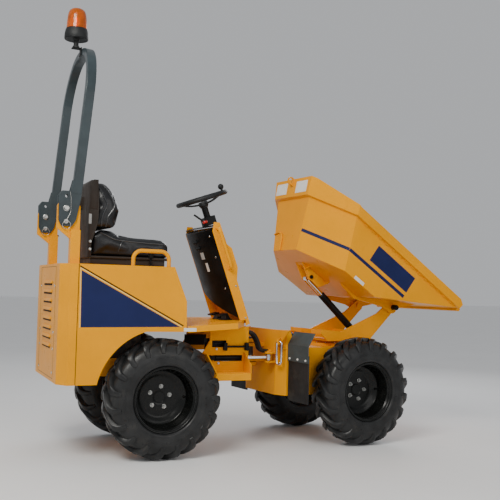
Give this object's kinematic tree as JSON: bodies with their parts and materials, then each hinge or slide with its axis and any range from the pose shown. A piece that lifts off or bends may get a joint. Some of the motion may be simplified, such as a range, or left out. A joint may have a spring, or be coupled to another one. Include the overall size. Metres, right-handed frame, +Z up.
{
  "type": "site dumper",
  "caption": "Articulated four-wheel site dumper with a swivelling front skip shown tipped, folding roll bar, seat and console on the rear half.",
  "frame": {"origin": "on the floor under the middle of the machine's bounding box", "axes": "+X forwards along the rear half, +Y to the machine's left, +Z up"},
  "size_m": [3.1546, 1.2531, 2.956],
  "materials": {
    "body_yellow": "gloss",
    "black_paint": "satin",
    "grey_paint": "satin",
    "cast_grey": "rough",
    "chrome_rod": "polished",
    "rubber_black": "matte",
    "seat_plastic": "matte",
    "seat_vinyl": "satin",
    "amber_lens": "gloss, translucent",
    "wheel_plastic": "matte",
    "tyre_rubber": "satin",
    "rim_black": "gloss"
  },
  "bodies": {
    "rear_chassis": {"rear_frame": "body_yellow", "hitch_pin": "cast_grey", "rear_axle": "body_yellow", "engine_block": "cast_grey", "step_right": "body_yellow", "step_left": "body_yellow", "rear_cover": "body_yellow", "side_panel_right": "body_yellow", "side_panel_left": "body_yellow", "engine_cover": "body_yellow", "floor_plate": "body_yellow", "seat_base": "black_paint", "seat_shell": "seat_plastic", "seat_back": "seat_vinyl", "seat_cushion": "seat_vinyl", "grab_rail_right": "body_yellow", "grab_rail_left": "body_yellow", "rops_post_right": "body_yellow", "rops_post_left": "body_yellow", "console_side_right": "body_yellow", "console_side_left": "body_yellow", "console_front": "body_yellow", "console_shroud": "black_paint", "dash_panel": "body_yellow", "steering_column": "black_paint", "handrail_right": "body_yellow", "handrail_left": "body_yellow", "pedals": "black_paint", "drive_lever": "black_paint", "steer_lock_bar": "black_paint", "hitch_hoses": "rubber_black"},
    "roll_bar": {"roll_hoop": "black_paint", "beacon_base": "black_paint", "beacon_lens": "amber_lens"},
    "steering": {"steering_wheel": "wheel_plastic"},
    "steer_cylinder_barrel": {"steer_barrel": "black_paint"},
    "steer_cylinder_rod": {"steer_rod": "chrome_rod"},
    "front_chassis": {"front_frame": "body_yellow", "front_axle": "black_paint", "mudguard_right": "grey_paint", "mudguard_left": "grey_paint", "mud_flap_right": "rubber_black", "mud_flap_left": "rubber_black", "tie_down_link": "chrome_rod"},
    "slew_table": {"slew_frame": "body_yellow"},
    "skip_body": {"skip": "body_yellow", "skip_lip": "body_yellow", "skip_rib_right": "body_yellow", "skip_rib_left": "body_yellow", "tip_ears": "body_yellow"},
    "tip_cylinder_barrel": {"tip_barrel": "black_paint"},
    "tip_cylinder_rod": {"tip_rod": "chrome_rod"},
    "wheel_rear_right": {"tyre_rear_right": "tyre_rubber", "rim_rear_right": "rim_black"},
    "wheel_rear_left": {"tyre_rear_left": "tyre_rubber", "rim_rear_left": "rim_black"},
    "wheel_front_right": {"tyre_front_right": "tyre_rubber", "rim_front_right": "rim_black"},
    "wheel_front_left": {"tyre_front_left": "tyre_rubber", "rim_front_left": "rim_black"}
  },
  "joints": [
    {"name": "articulation", "type": "hinge", "parent": "rear_chassis", "child": "front_chassis", "pos_m": [-0.097, -0.063, 0.64], "axis": [0, 0, 1], "range_deg": [-38.25, 25.75], "deforming": ["hitch_hoses"]},
    {"name": "slew", "type": "hinge", "parent": "front_chassis", "child": "slew_table", "pos_m": [0.6386, 0.01756, 0.728], "axis": [0, 0, 1], "range_deg": [-90, 90]},
    {"name": "tip", "type": "hinge", "parent": "slew_table", "child": "skip_body", "pos_m": [1.0412, 0.06165, 0.988], "axis": [-0.1089, 0.9941, 0], "range_deg": [-33.2, 30]},
    {"name": "tip_cylinder_swing", "type": "hinge", "parent": "slew_table", "child": "tip_cylinder_barrel", "pos_m": [0.89706, 0.04587, 0.745], "axis": [-0.1089, 0.9941, 0], "range_deg": [-34, 31]},
    {"name": "tip_cylinder_slide", "type": "slide", "parent": "tip_cylinder_barrel", "child": "tip_cylinder_rod", "axis": [-0.7458, -0.0817, 0.6612], "range_m": [-0.17, 0.16]},
    {"name": "steer_cylinder_swing", "type": "hinge", "parent": "rear_chassis", "child": "steer_cylinder_barrel", "pos_m": [-0.497, -0.258, 0.618], "axis": [0, 0, 1], "range_deg": [-12, 12]},
    {"name": "steer_cylinder_slide", "type": "slide", "parent": "steer_cylinder_barrel", "child": "steer_cylinder_rod", "axis": [1, 0.0012, 0], "range_m": [-0.15, 0.12]},
    {"name": "roll_bar_fold", "type": "hinge", "parent": "rear_chassis", "child": "roll_bar", "pos_m": [-1.547, -0.063, 1.573], "axis": [0, -1, 0], "range_deg": [0, 150]},
    {"name": "steering_wheel_turn", "type": "hinge", "parent": "rear_chassis", "child": "steering", "pos_m": [-0.506, -0.063, 1.742], "axis": [-0.342, 0, 0.9397], "continuous": true},
    {"name": "rear_right_roll", "type": "hinge", "parent": "rear_chassis", "child": "wheel_rear_right", "pos_m": [-0.897, -0.493, 0.385], "axis": [0, 1, 0], "continuous": true},
    {"name": "rear_left_roll", "type": "hinge", "parent": "rear_chassis", "child": "wheel_rear_left", "pos_m": [-0.897, 0.367, 0.385], "axis": [0, 1, 0], "continuous": true},
    {"name": "front_right_roll", "type": "hinge", "parent": "front_chassis", "child": "wheel_front_right", "pos_m": [0.63969, -0.41489, 0.385], "axis": [-0.1089, 0.9941, 0], "continuous": true},
    {"name": "front_left_roll", "type": "hinge", "parent": "front_chassis", "child": "wheel_front_left", "pos_m": [0.54606, 0.44, 0.385], "axis": [-0.1089, 0.9941, 0], "continuous": true}
  ],
  "couplings": [
    {"joint": "tip_cylinder_swing", "follows": "tip", "ratio": 0.93},
    {"joint": "tip_cylinder_slide", "follows": "tip", "m_per_rad": 0.265},
    {"joint": "steer_cylinder_swing", "follows": "articulation", "ratio": 0.09},
    {"joint": "steer_cylinder_slide", "follows": "articulation", "m_per_rad": 0.192}
  ]
}
